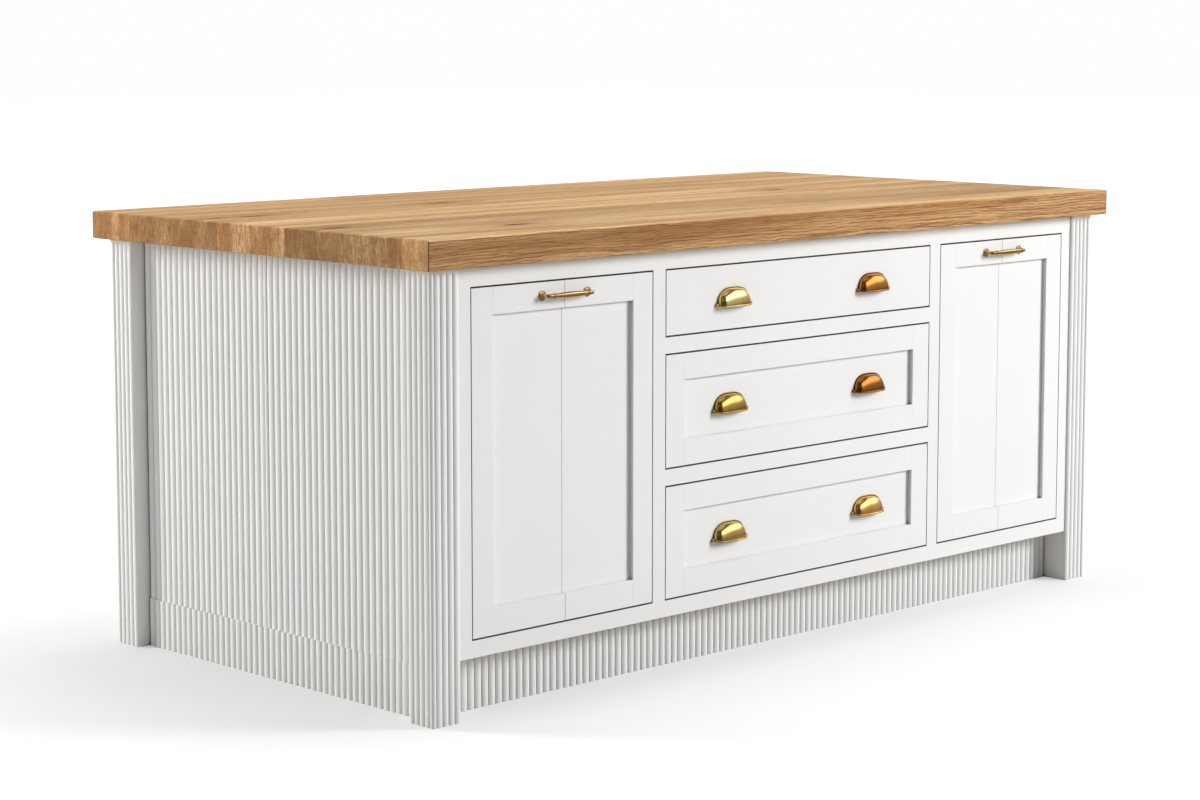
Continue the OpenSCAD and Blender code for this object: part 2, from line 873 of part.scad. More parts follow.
// Bar handle, centred on the line between its screws, with the front on y = 0
module bar_handle() {
    half = bar_l / 2;
    straight = half - bar_bend;
    ring_x = half - bar_ring_in;
    end_r = bar_end_d / 2;
    swell = (bar_mid_d - bar_end_d) / 4;
    xs = [for (i = [-bar_steps : bar_steps]) straight * i / bar_steps];
    profile = [for (x = xs) [end_r + swell * (1 + cos(180 * x / straight)), x]];
    difference() {
        union() {
            translate([0, -bar_out, 0]) rotate([0, 90, 0]) {
                rotate_extrude() polygon(concat([[0, -straight]], profile, [[0, straight]]));
                for (side = [-1, 1]) {
                    translate([0, 0, side * ring_x])
                        cylinder(h = bar_ring_w, d = bar_ring_d, center = true);
                }
            }
            for (side = [0, 1]) {
                mirror([side, 0, 0]) {
                    translate([straight, -bar_out + bar_bend, 0]) rotate([0, 0, -90])
                        rotate_extrude(angle = 90) translate([bar_bend, 0]) circle(end_r);
                    translate([half, 0, 0]) rotate([90, 0, 0]) {
                        cylinder(h = bar_out - bar_bend, r = end_r);
                        cylinder(h = rose_t, d1 = rose_d, d2 = (rose_d + bar_end_d) / 2);
                    }
                }
            }
        }
        for (side = [-1, 1]) {
            translate([side * half, past, 0]) rotate([90, 0, 0])
                cylinder(h = screw_grip + past + thread_room, d = screw_d + 2 * thread_room);
        }
    }
}

module pullout_handle(o) {
    color(brass) translate([mid_x(o), frame_y, handle_z(o)]) bar_handle();
}

// Screws from inside a box through its front board, up to a handle seated on seat_y
module handle_screws(places, seat_y) {
    head_y = box_y + wall_t;
    color(steel) for (p = places) {
        translate([p[0], head_y, p[1]]) rotate([90, 0, 0]) {
            cylinder(h = head_y - seat_y + screw_grip, d = screw_d);
            translate([0, 0, -screw_head_h]) cylinder(h = screw_head_h, d = screw_head_d);
        }
    }
}

worktop();
post();  // post_front_left
mirror([1, 0, 0]) post();  // post_front_right
mirror([0, 1, 0]) post();  // post_back_left
mirror([1, 0, 0]) mirror([0, 1, 0]) post();  // post_back_right
face_rails();
face_stiles();
side_panels();  // side_panels_left
mirror([1, 0, 0]) side_panels();  // side_panels_right
back_panels();
both_sides() side_skirting();  // side_skirtings
back_skirting();
front_plinth();
side_battens();
cabinet_sides();
partitions();
cabinet_floor();
cabinet_backs();
top_stretchers();
adjustable_legs();
plinth_clips();
runner_packers();
runner_channels();

slab_front(drawer_openings[0]);  // drawer_1_front
drawer_box(drawer_openings[0]);  // drawer_1_box
drawer_cups(drawer_openings[0], frame_y);  // drawer_1_cups
handle_screws(cup_screw_places(drawer_openings[0]), frame_y);  // drawer_1_screws
runner_pair(drawer_openings[0]) slide_section();  // drawer_1_slides
runner_pair(drawer_openings[0]) middle_section();  // drawer_1_middles

drawer_front_frame(drawer_openings[1]);  // drawer_2_front_frame
drawer_front_panel(drawer_openings[1]);  // drawer_2_front_panel
drawer_box(drawer_openings[1]);  // drawer_2_box
drawer_cups(drawer_openings[1], frame_y + recess);  // drawer_2_cups
handle_screws(cup_screw_places(drawer_openings[1]), frame_y + recess);  // drawer_2_screws
runner_pair(drawer_openings[1]) slide_section();  // drawer_2_slides
runner_pair(drawer_openings[1]) middle_section();  // drawer_2_middles

drawer_front_frame(drawer_openings[2]);  // drawer_3_front_frame
drawer_front_panel(drawer_openings[2]);  // drawer_3_front_panel
drawer_box(drawer_openings[2]);  // drawer_3_box
drawer_cups(drawer_openings[2], frame_y + recess);  // drawer_3_cups
handle_screws(cup_screw_places(drawer_openings[2]), frame_y + recess);  // drawer_3_screws
runner_pair(drawer_openings[2]) slide_section();  // drawer_3_slides
runner_pair(drawer_openings[2]) middle_section();  // drawer_3_middles

pullout_front_frame(left_opening);  // left_front_frame
pullout_front_panels(left_opening);  // left_front_panels
left_carrier();
left_bins();
pullout_handle(left_opening);  // left_handle
handle_screws(bar_screw_places(left_opening), frame_y);  // left_screws
runner_pair(left_opening) slide_section();  // left_slides
runner_pair(left_opening) middle_section();  // left_middles

pullout_front_frame(right_opening);  // right_front_frame
pullout_front_panels(right_opening);  // right_front_panels
right_carrier();
pullout_handle(right_opening);  // right_handle
handle_screws(bar_screw_places(right_opening), frame_y);  // right_screws
runner_pair(right_opening) slide_section();  // right_slides
runner_pair(right_opening) middle_section();  // right_middles
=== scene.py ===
# A kitchen island: an oiled oak worktop on a painted body with fluted posts and reeded
# panels, brass cup pulls on three drawers and a brass bar handle on each tall pull-out.
# Metres, +Z up, front towards -Y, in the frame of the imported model.
import math

import bmesh
import bpy
from mathutils import Matrix, Vector


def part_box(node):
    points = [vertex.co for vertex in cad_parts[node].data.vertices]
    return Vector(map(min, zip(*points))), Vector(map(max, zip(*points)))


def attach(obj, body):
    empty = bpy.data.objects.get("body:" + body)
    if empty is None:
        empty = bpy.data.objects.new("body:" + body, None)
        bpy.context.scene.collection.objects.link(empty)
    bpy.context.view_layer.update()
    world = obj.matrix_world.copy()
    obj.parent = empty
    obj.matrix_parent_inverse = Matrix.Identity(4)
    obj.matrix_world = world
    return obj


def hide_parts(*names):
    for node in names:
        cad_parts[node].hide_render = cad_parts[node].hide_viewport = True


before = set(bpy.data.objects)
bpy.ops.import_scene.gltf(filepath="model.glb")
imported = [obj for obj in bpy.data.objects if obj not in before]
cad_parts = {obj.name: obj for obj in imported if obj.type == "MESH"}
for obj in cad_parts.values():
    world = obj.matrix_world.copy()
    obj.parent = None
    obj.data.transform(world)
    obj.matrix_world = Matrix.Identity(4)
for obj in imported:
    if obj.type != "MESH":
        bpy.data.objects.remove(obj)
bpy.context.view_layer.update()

MM = 0.001
# Points that lie closer than this are merged
WELD = 0.01 * MM
# Edges that are sharper than this, in degrees, stay crisp
CRISP_ANGLE = 40

# Cup pulls, with the sizes of the frame's plain ones. Their outline is a curve of the power
# CUP_SQUARE, where 2 gives an ellipse and more is squarer
CUP_HALF = 45 * MM
CUP_HEIGHT = 37 * MM
CUP_OUT = 22 * MM
CUP_SQUARE = 2.8
CUP_WALL = 2 * MM
CUP_RIM = 2.5 * MM
CUP_LIP = 3.5 * MM
CUP_LIP_PROUD = 0.8 * MM
CUP_FOOT_R = 4.5 * MM
CUP_FOOT_OUT = 7 * MM
CUP_BOSS_R = 4.6 * MM
CUP_BOSS_OUT = 13 * MM
CUP_SCREWS = 64 * MM
CUP_SCREW_Z = 14 * MM

# The brass of each drawer's left and right cup pull, tinted apart from one another to paint
# in the warm reflections that each cup shows
CUP_REFLECTION_TINTS = {
    "drawer_1": ((0.86, 0.66, 0.29, 1), (0.61, 0.26, 0.06, 1)),
    "drawer_2": ((0.60, 0.38, 0.11, 1), (0.43, 0.18, 0.04, 1)),
    "drawer_3": ((0.67, 0.48, 0.18, 1), (0.87, 0.53, 0.18, 1)),
}

# Bar handles, with the sizes of the frame's plain ones
BAR_HALF = 58.5 * MM
BAR_OUT = 18 * MM
BAR_BEND = 6 * MM
BAR_END_R = 4 * MM
BAR_MID_R = 6 * MM
BAR_RING_R = 5.4 * MM
BAR_RING_W = 2.6 * MM
BAR_RING_IN = 14 * MM
ROSE_R = 9.8 * MM
ROSE_T = 2.5 * MM
BAR_TONE = (0.53, 0.35, 0.145, 1)

# The corners of the rear right post, towards the middle of the body and away from it
POST_INNER, POST_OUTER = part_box("post_back_right")
# How far the crests of the reeded panels lie behind the posts' outer sides, how far the
# skirting stands proud of them, and how high it is
PANEL_BACK = POST_OUTER.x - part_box("side_panels_right")[1].x
SKIRTING_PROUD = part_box("back_skirting")[1].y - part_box("back_panels")[1].y
SKIRTING_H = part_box("back_skirting")[1].z
# Where the crests of the plinth's reeds lie
PLINTH_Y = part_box("front_plinth")[0].y
# Depth of the grooves between the reeds of panels and plinth, and of the posts' flutes
PANEL_GROOVE = 4 * MM
POST_GROOVE = 3.2 * MM
# Slack in telling which piece a point belongs to
SLACK = 0.5 * MM

# The pieces that close the openings in front, the gap round each, how far the painted
# shade of each gap spreads over the edges beside it, and the plane that this shade starts from
FRONTS = (
    "drawer_1_front", "drawer_2_front_frame", "drawer_3_front_frame",
    "left_front_frame", "right_front_frame",
)
FRONT_GAP = 2.5 * MM
GAP_SHADE_SPREAD = 0.5 * MM
GAP_SHADE_Y = -480 * MM

# The worktop's far corner, and how wide the dark line is on its upright corners
WORKTOP_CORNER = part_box("worktop")[1]
WORKTOP_ARRIS = 1.8 * MM
# Half the width of the line that shows where two boards are glued
GLUE_HALF_W = 0.5 * MM
# The worktop's boards from front to back. Each has the joint behind it, the place of its
# heart across and above the floor, the width of a growth ring, and its tone
BOARDS = (
    (-0.4485, -0.6400, 0.900, 0.0044, 1.30),
    (-0.2685, -0.1600, 0.860, 0.0042, 0.89),
    (-0.1105, -0.2450, 0.874, 0.0036, 0.84),
    (0.1025, 0.2400, 0.850, 0.0042, 1.12),
    (0.3945, 0.0300, 0.820, 0.0044, 0.92),
    (0.5250, 0.7200, 0.870, 0.0040, 1.10),
)
JOINTS, HEARTS_Y, HEARTS_Z, RING_WIDTHS, BOARD_TONES = zip(*BOARDS)
# Where the rear board is made of two lengths that meet end to end
BUTT_JOINT_X = -0.437
# Small knots in the worktop: place along and across, and radius
KNOTS = (
    (-0.971, 0.180, 0.012),
    (-0.879, 0.172, 0.015),
    (-0.955, -0.176, 0.017),
    (-0.652, -0.351, 0.019),
    (-0.357, 0.208, 0.014),
    (0.480, 0.010, 0.016),
)
# How the top, the board ends and the long edges are tinted, as (red, green, blue): partly
# by the oil, partly by painted light and shade that set how bright each face looks
TOP_TINT = (1.18, 1.22, 1.21)
END_TINT = (1.12, 1.06, 0.94)
EDGE_TINT = (1.15, 1.07, 0.90)

# The soft lamps: place, target, width, height, watts and colour
LAMPS = {
    "right_box": ((5.9, -6.3, 3.5), (0, -0.4, 0.5), 2.6, 3.0, 840, (0.976, 0.986, 1.0)),
    "left_box": ((-4.1, 4.6, 2.5), (-0.9, 0, 0.5), 1.6, 2.2, 345, (1, 1, 1)),
    "left_fill": ((-6.0, 0.6, 1.6), (-0.9, 0, 0.5), 3.0, 3.0, 45, (1, 1, 1)),
    "top_box": ((0.2, 0.4, 4.4), (0, 0, 0.9), 3.4, 2.4, 100, (1, 1, 1)),
}
FLOOR_HALF_SIZE = 30.0
# The floor lies a hair below the feet, so that the two don't flicker
FLOOR_Z = -0.2 * MM
# The floor's painted soft shadow: where it starts along X and Y, and how far it reaches
SHADE_X = -2.2
SHADE_Y = -0.7
SHADE_L = 3.4
SHADE_D = 2.4

# The camera: place, heading from +X and tilt down in degrees, lens in millimetres, and
# vertical shift
CAMERA_PLACE = (-4.2729, -4.2881, 1.3066)
CAMERA_HEADING = 45.675
CAMERA_TILT = 6.473
CAMERA_LENS = 83.81
CAMERA_SHIFT = -0.06


# ---- Shader arithmetic ----


class Value:
    """A shader socket that Python arithmetic turns into Math nodes."""

    def __init__(self, nodes, socket):
        self.nodes = nodes
        self.socket = socket

    def __add__(self, other):
        return self.nodes.math("ADD", self, other)

    def __radd__(self, other):
        return self.nodes.math("ADD", other, self)

    def __sub__(self, other):
        return self.nodes.math("SUBTRACT", self, other)

    def __rsub__(self, other):
        return self.nodes.math("SUBTRACT", other, self)

    def __mul__(self, other):
        return self.nodes.math("MULTIPLY", self, other)

    def __rmul__(self, other):
        return self.nodes.math("MULTIPLY", other, self)

    def __truediv__(self, other):
        return self.nodes.math("DIVIDE", self, other)

    def __rtruediv__(self, other):
        return self.nodes.math("DIVIDE", other, self)

    def __pow__(self, other):
        return self.nodes.math("POWER", self, other)

    def __gt__(self, other):
        return self.nodes.math("GREATER_THAN", self, other)

    def __lt__(self, other):
        return self.nodes.math("LESS_THAN", self, other)


class Nodes:
    """The nodes of one material or world."""

    def __init__(self, owner):
        owner.use_nodes = True
        self.owner = owner
        self.tree = owner.node_tree

    def node(self, kind, settings=None, inputs=None, output=0):
        """Adds a node with its settings, then its inputs, and gives one of its outputs."""
        made = self.tree.nodes.new(kind)
        for key, setting in (settings or {}).items():
            if key == "stops":
                set_stops(made.color_ramp, setting)
            else:
                setattr(made, key, setting)
        self.fill(made, inputs or {})
        return Value(self, made.outputs[output])

    def fill(self, made, inputs):
        """Links or sets the inputs of a node."""
        for key, value in inputs.items():
            if isinstance(value, Value):
                self.tree.links.new(value.socket, made.inputs[key])
            else:
                made.inputs[key].default_value = value

    def surface(self, inputs):
        """Sets the inputs of the material's shader and gives the material."""
        self.fill(self.tree.nodes["Principled BSDF"], inputs)
        return self.owner

    def math(self, operation, *values):
        return self.node("ShaderNodeMath", {"operation": operation}, dict(enumerate(values)))

    def split(self, vector):
        """The three numbers of a vector."""
        first = self.node("ShaderNodeSeparateXYZ", None, {0: vector})
        return [Value(self, output) for output in first.socket.node.outputs]

    def joined(self, x, y, z):
        return self.node("ShaderNodeCombineXYZ", None, {0: x, 1: y, 2: z})

    def place(self):
        """The place of a point in the frame."""
        return self.node("ShaderNodeTexCoord", output="Object")

    def facing(self):
        """The direction that a surface faces, as three numbers."""
        return self.split(self.node("ShaderNodeNewGeometry", output="Normal"))

    def openness(self, reach):
        """How free a point is of what lies within reach: 0 deep in a gap, 1 in the open."""
        inputs = {"Distance": reach}
        return self.node("ShaderNodeAmbientOcclusion", {"samples": 8}, inputs, output="AO")

    def rays(self):
        """Whether a ray comes straight from the camera, and whether it is a reflection."""
        direct = self.node("ShaderNodeLightPath", output="Is Camera Ray")
        return direct, Value(self, direct.socket.node.outputs["Is Glossy Ray"])

    def scaled(self, vector, scale):
        settings = {"operation": "MULTIPLY"}
        return self.node("ShaderNodeVectorMath", settings, {0: vector, 1: scale})

    def noise(self, vector, scale, detail=2.0, roughness=0.5, distortion=0.0):
        inputs = {"Vector": vector, "Scale": scale, "Detail": detail}
        inputs.update({"Roughness": roughness, "Distortion": distortion})
        return self.node("ShaderNodeTexNoise", None, inputs)

    def ramp(self, value, stops):
        """A value through stops of (position, level)."""
        greys = [(at, grey(level)) for at, level in stops]
        return self.node("ShaderNodeValToRGB", {"stops": greys}, {"Fac": value})

    def rise(self, value, low, high, most=1.0):
        """A level that rises from 0, where a value is low, to its most, where it is high."""
        return self.ramp(value, ((low, 0.0), (high, most)))

    def mix(self, factor, a, b):
        """Two colours mixed. The Mix node keeps its colours in inputs 6 and 7, output 2."""
        settings = {"data_type": "RGBA"}
        return self.node("ShaderNodeMix", settings, {0: factor, 6: a, 7: b}, output=2)

    def layered(self, colour, layers):
        """A colour under layers of (how dense, colour), the lowest first."""
        for dense, layer in layers:
            colour = self.mix(dense, colour, layer)
        return colour

    def bump(self, height, distance):
        """A relief of the surface, its height measured in distance."""
        inputs = {"Height": height, "Distance": distance, "Strength": 1.0}
        return self.node("ShaderNodeBump", None, inputs)


def set_stops(color_ramp, stops):
    """Gives a colour ramp its stops of (position, colour)."""
    while len(color_ramp.elements) < len(stops):
        color_ramp.elements.new(0.5)
    for element, (position, colour) in zip(color_ramp.elements, stops):
        element.position = position
        element.color = colour


def grey(level):
    """A colour without a hue."""
    return (level, level, level, 1)


def new_finish(name):
    """The nodes of a new material."""
    return Nodes(bpy.data.materials.new(name))


# ---- Finishes ----


def reed_grooves(nodes, place):
    """Where the reeds are, and how deep a point lies between them: 0 on a crest, 1 in the
    bottom of a groove."""
    x, y, z = nodes.split(place)
    along = nodes.math("ABSOLUTE", x)
    across = nodes.math("ABSOLUTE", y)
    proud = (z < SKIRTING_H + SLACK) * SKIRTING_PROUD
    from_end = POST_OUTER.x - along
    from_side = POST_OUTER.y - across
    from_rear = POST_OUTER.y - y
    between_l = along < POST_INNER.x
    between_d = across < POST_INNER.y
    in_post = (along > POST_INNER.x + SLACK) * (across > POST_INNER.y + SLACK)
    reeded = 0.0
    groove = 0.0
    for depth, within in (
        ((from_end - PANEL_BACK + proud) / PANEL_GROOVE, between_d),
        ((from_rear - PANEL_BACK + proud) / PANEL_GROOVE, between_l),
        ((y - PLINTH_Y) / PANEL_GROOVE, between_l),
        (nodes.math("MINIMUM", from_end, from_side) / POST_GROOVE, in_post),
    ):
        # A little more than crest and bottom, so that nothing falls out by rounding
        inside = within * (depth > -0.01) * (depth < 1.02)
        reeded = inside + reeded
        groove = inside * depth + groove
    return reeded, groove


def front_gap_shade(nodes, place):
    """Where shade is painted: the gaps above and below each front at rest, and their edges."""
    x, y, z = nodes.split(place)
    gaps = 0.0
    for node in FRONTS:
        low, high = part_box(node)
        middle_x = (low.x + high.x) / 2
        half_l = (high.x - low.x) / 2 + FRONT_GAP
        above_and_below = 0.0
        for level in (low.z - FRONT_GAP / 2, high.z + FRONT_GAP / 2):
            line = nodes.math("COMPARE", z, level, FRONT_GAP / 2 + GAP_SHADE_SPREAD)
            above_and_below = line + above_and_below
        gaps = nodes.math("COMPARE", x, middle_x, half_l) * above_and_below + gaps
    return gaps * (y < GAP_SHADE_Y)


def painted_shade(nodes, place):
    """Painted shade: how dark the paint is made between reeds, in corners and in the gaps of
    the fronts. A face that looks up is painted lighter. The painted shade of the gaps falls
    only on what looks forward or is shut in, so that a front that is pulled out keeps its own
    tone."""
    reeded, groove = reed_grooves(nodes, place)
    # Painted shade, deepest at the bottom of each groove
    groove_shade = nodes.ramp(groove, ((0.0, 0.0), (0.45, 0.02), (0.80, 0.12), (1.0, 0.42)))
    free = nodes.openness(12 * MM)
    # Painted shade in corners, from how shut in a point is
    in_corners = nodes.ramp(free, ((0.05, 1.0), (0.28, 0.80), (0.42, 0.30), (0.60, 0.0)))
    _, ny, nz = nodes.facing()
    looks_up = nz > 0.7
    looks_forward = ny < -0.7
    in_corners = in_corners * (1 - reeded) * (1 - looks_up * 0.8)
    shut_in = nodes.ramp(free, ((0.30, 1.0), (0.60, 0.0)))
    # Painted shadow lines in the gaps round the fronts
    gaps = front_gap_shade(nodes, place) * nodes.math("MAXIMUM", looks_forward, shut_in)
    return nodes.math("MAXIMUM", groove_shade + in_corners, gaps * 0.88)


def satin_paint():
    """Off-white satin paint, rolled on a little unevenly over sanded timber, with painted shade
    in its grooves, corners and gaps.
    """
    nodes = new_finish("satin_paint")
    place = nodes.place()
    cloud = nodes.noise(place, 3.0, 4.0)
    roller = nodes.noise(place, 380.0, 2.0)
    warm = (0.806, 0.796, 0.776, 1)
    cool = (0.822, 0.816, 0.802, 1)
    # dark is the colour of the painted shade in grooves, corners and gaps
    dark = (0.050, 0.045, 0.038, 1)
    return nodes.surface({
        "Base Color": nodes.layered(warm, (
            (nodes.rise(cloud, 0.30, 0.70), cool),
            # Painted shade laid over the paint
            (painted_shade(nodes, place), dark),
        )),
        "Roughness": 0.42 + roller * 0.10,
        "Normal": nodes.bump(roller, 0.04 * MM),
    })


def by_board(steps, values):
    """A value that changes from board to board across the worktop."""
    level = values[0]
    for step, before, after in zip(steps, values, values[1:]):
        level = step * (after - before) + level
    return level


def knot_marks(nodes, along, across):
    """How near a point is to a knot: a tight dark heart and the wide swirl round it."""
    heart = 0.0
    swirl = 0.0
    for x, y, radius in KNOTS:
        far_along = ((along - x) * 0.45) ** 2
        far_across = (across - y) ** 2
        slit = (far_along * 0.7 + far_across * 2.2) * (-1 / radius ** 2)
        heart = nodes.math("MAXIMUM", nodes.math("EXPONENT", slit), heart)
        far = far_along + far_across
        wide = 3.2 * radius
        swirl = nodes.math("MAXIMUM", nodes.math("EXPONENT", far * (-1 / wide ** 2)), swirl)
    return heart, swirl


def glue_lines(nodes, y):
    """The thin lines where two boards meet."""
    lines = 0.0
    for joint in JOINTS[:-1]:
        lines = nodes.math("COMPARE", y, joint, GLUE_HALF_W) + lines
    return lines


def growth_rings(nodes, spot, board, swirl, front):
    """How many rings out from its board's heart a point lies. The heart wanders along the
    board, and the rings bend round the knots."""
    x, y, z = spot
    number, heart_y, heart_z, ring_width = board
    wander = nodes.noise(nodes.joined(x * 1.15, number * 7.31, 0.0), 1.0, 2.0) - 0.5
    drift = nodes.noise(nodes.joined(x * 0.9, 3.7, number * 5.17), 1.0, 2.0) - 0.5
    from_heart_y = y - heart_y + wander * 0.060
    from_heart_z = z - heart_z + drift * 0.050
    radius = (from_heart_y ** 2 + from_heart_z ** 2) ** 0.5
    ripple = nodes.noise(nodes.joined(x * (9 + front * 17), y * 60, z * 60), 1.0, 3.0) - 0.5
    return (radius + swirl * 0.020 + front * z) / ring_width + ripple * 1.7


def oiled_oak():
    """Oiled oak boards glued edge to edge, each cut from round its own heart. The rear board
    is two lengths, and the second has its own number, heart and tone."""
    nodes = new_finish("oiled_oak")
    spot = nodes.split(nodes.place())
    x, y, z = spot
    end, front, flat = [way * way for way in nodes.facing()]

    steps = [y > joint for joint in JOINTS[:-1]]
    second_length = (y > JOINTS[-2]) * (x > BUTT_JOINT_X)
    number = by_board(steps, range(len(BOARDS))) + second_length
    heart_y = by_board(steps, HEARTS_Y) + second_length * 0.05
    board = (number, heart_y, by_board(steps, HEARTS_Z), by_board(steps, RING_WIDTHS))
    tone = by_board(steps, BOARD_TONES) - second_length * 0.10

    knot, swirl = knot_marks(nodes, x, y)
    growth = growth_rings(nodes, spot, board, swirl, front)
    early_wood = nodes.ramp(nodes.math("FRACT", growth), (
        (0.0, 0.55), (0.10, 1.0), (0.38, 0.30), (0.95, 0.0), (1.0, 0.55),
    ))
    year = nodes.noise(nodes.joined(growth * 0.42, x * 1.2, number), 1.0, 2.0)
    decade = nodes.noise(nodes.joined(growth * 0.09, x * 0.7, number), 1.0, 3.0)
    ring_depth = nodes.ramp(year, ((0.36, 0.12), (0.64, 0.85)))

    broad = nodes.noise(nodes.joined(x * 0.8, y * 15, z * 15 + number), 1.0, 4.0)
    streak = nodes.noise(nodes.joined(x * 1.1, y * 52, z * 52), 1.0, 5.0, 0.6)
    fibre = nodes.noise(nodes.joined(x * 6, y * 230, z * 230), 1.0, 3.0, 0.6)
    ray = nodes.noise(nodes.joined(number, y * 340, z * 42), 1.0, 3.0, 0.6, 0.3)
    pore = nodes.noise(nodes.joined(x * 30, y * 620, z * 620), 1.0, 2.0)
    pores = nodes.rise(pore, 0.50, 0.64) * (0.35 + early_wood * 0.65)
    joints = glue_lines(nodes, y)

    pale = (0.680, 0.462, 0.262, 1)
    honey = (0.470, 0.276, 0.126, 1)
    brown = (0.215, 0.100, 0.037, 1)
    deep = (0.085, 0.036, 0.013, 1)
    colour = nodes.layered(pale, (
        (nodes.rise(broad, 0.36, 0.62), honey),
        (nodes.rise(decade, 0.42, 0.66, 0.48), brown),
        (nodes.rise(streak, 0.50, 0.68, 0.56), brown),
        (early_wood * (ring_depth + front * 0.30), brown),
        (nodes.rise(fibre, 0.46, 0.76, 0.62) * (1 + front * 0.9), brown),
        (nodes.rise(ray, 0.44, 0.62, 0.62) * end, brown),
        (pores * 0.62, deep),
        (swirl * 0.50, brown),
        (nodes.rise(knot, 0.30, 0.80, 0.95), deep),
        (joints * 0.55, deep),
        (nodes.rise(year, 0.42, 0.60) * (end * 0.22 + front * 0.08), brown),
    ))
    board_tone = 1 + (tone - 1) * (0.62 + end * 0.38 - front * 0.62)
    # Each face tinted by which way it faces: the oil, and painted light and shade
    tint = [
        board_tone * (flat * on_top + end * on_end + front * on_edge)
        for on_top, on_end, on_edge in zip(TOP_TINT, END_TINT, EDGE_TINT)
    ]
    colour = nodes.scaled(colour, nodes.joined(*tint))
    near_end = WORKTOP_CORNER.x - nodes.math("ABSOLUTE", x) < WORKTOP_ARRIS
    near_edge = WORKTOP_CORNER.y - nodes.math("ABSOLUTE", y) < WORKTOP_ARRIS
    colour = nodes.mix(near_end * near_edge * 0.85, colour, deep)
    relief = early_wood * -0.5 - pores * 1.2 - fibre * 0.5 - knot - joints
    return nodes.surface({
        "Base Color": colour,
        "Roughness": 0.46 + fibre * 0.14 + pores * 0.10,
        "Specular IOR Level": 0.3,
        "Normal": nodes.bump(relief, 0.22 * MM),
    })


def birch_plywood():
    """Lacquered birch, its grain level on upright boards and lengthwise on flat ones."""
    nodes = new_finish("birch_plywood")
    x, y, z = nodes.split(nodes.place())
    _, _, nz = nodes.facing()
    flat = nodes.math("ABSOLUTE", nz) > 0.5
    across = flat * (y * 90 - z * 90) + z * 90
    grain = nodes.noise(nodes.joined(x * 2.2, across, y * 2.2), 1.0, 5.0, 0.6, 0.4)
    flame = nodes.noise(nodes.joined(x * 1.3, across * 0.12, y * 1.3), 1.0, 3.0, 0.5, 1.2)
    fleck = nodes.noise(nodes.joined(x * 40, across * 9, y * 40), 1.0, 2.0)
    pale = (0.760, 0.610, 0.415, 1)
    straw = (0.660, 0.490, 0.300, 1)
    brown = (0.470, 0.310, 0.165, 1)
    return nodes.surface({
        "Base Color": nodes.layered(pale, (
            (nodes.rise(flame, 0.35, 0.65), straw),
            (nodes.rise(grain, 0.45, 0.75, 0.45), brown),
            (nodes.rise(fleck, 0.66, 0.78, 0.35), brown),
        )),
        "Roughness": 0.38 + grain * 0.15,
        "Normal": nodes.bump(grain, 0.10 * MM),
    })


def polished_brass(name, bright):
    """Polished brass with a faint cloud of tarnish and fine wipe marks. Its corners are
    tarnished and darkened further as painted shade.
    """
    nodes = new_finish(name)
    deep = tuple(level * share for level, share in zip(bright, (0.76, 0.66, 0.50, 1)))
    tarnish_and_shade = (0.060, 0.040, 0.016, 1)
    place = nodes.place()
    cloud = nodes.noise(place, 34.0, 4.0)
    wiped = nodes.noise(nodes.scaled(place, (1, 1, 7)), 160.0, 3.0)
    # Tarnish in the hollows, deepened to near black as painted shade
    in_corners = nodes.ramp(nodes.openness(8 * MM), ((0.30, 0.95), (0.62, 0.72), (0.90, 0.0)))
    return nodes.surface({
        "Base Color": nodes.layered(bright, (
            (nodes.rise(cloud, 0.40, 0.74, 0.7), deep),
            (in_corners, tarnish_and_shade),
        )),
        "Metallic": 1.0,
        "Roughness": 0.13 + cloud * 0.06 + wiped * 0.05,
        "Normal": nodes.bump(wiped, 0.02 * MM),
    })


def zinc_steel():
    """Zinc-plated steel, drawn lengthwise, with a faint crystal bloom."""
    nodes = new_finish("zinc_steel")
    place = nodes.place()
    drawn = nodes.noise(nodes.scaled(place, (260, 3, 260)), 1.0, 3.0)
    bloom = nodes.noise(place, 90.0, 3.0)
    dull = (0.500, 0.515, 0.535, 1)
    bright = (0.700, 0.710, 0.720, 1)
    return nodes.surface({
        "Base Color": nodes.mix(bloom, dull, bright),
        "Metallic": 1.0,
        "Roughness": 0.26 + drawn * 0.16 + bloom * 0.06,
        "Normal": nodes.bump(drawn, 0.03 * MM),
    })


def moulded_plastic(name, dark, light, roughness):
    """Moulded plastic with a fine spark-eroded grain."""
    nodes = new_finish(name)
    place = nodes.place()
    grain = nodes.noise(place, 900.0, 2.0)
    cloud = nodes.noise(place, 14.0, 3.0)
    return nodes.surface({
        "Base Color": nodes.mix(nodes.rise(cloud, 0.30, 0.70), dark, light),
        "Roughness": roughness + grain * 0.12,
        "Normal": nodes.bump(grain, 0.06 * MM),
    })


def make_finishes():
    """One material for each finish that the frame names."""
    return {
        "oak": oiled_oak(),
        "painted_timber": satin_paint(),
        "birch": birch_plywood(),
        "steel": zinc_steel(),
        "brass": polished_brass("brass", (0.82, 0.58, 0.22, 1)),
        "black_plastic": moulded_plastic("black_plastic", grey(0.018), grey(0.030), 0.42),
        "grey_plastic": moulded_plastic(
            "grey_plastic", (0.225, 0.240, 0.258, 1), (0.280, 0.296, 0.312, 1), 0.40
        ),
    }


def finish_frame(finishes):
    """Gives every node of the frame the finish that its own material is named for."""
    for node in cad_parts.values():
        for slot in node.material_slots:
            slot.material = finishes[slot.material.name]


# ---- Turned and cast brass ----


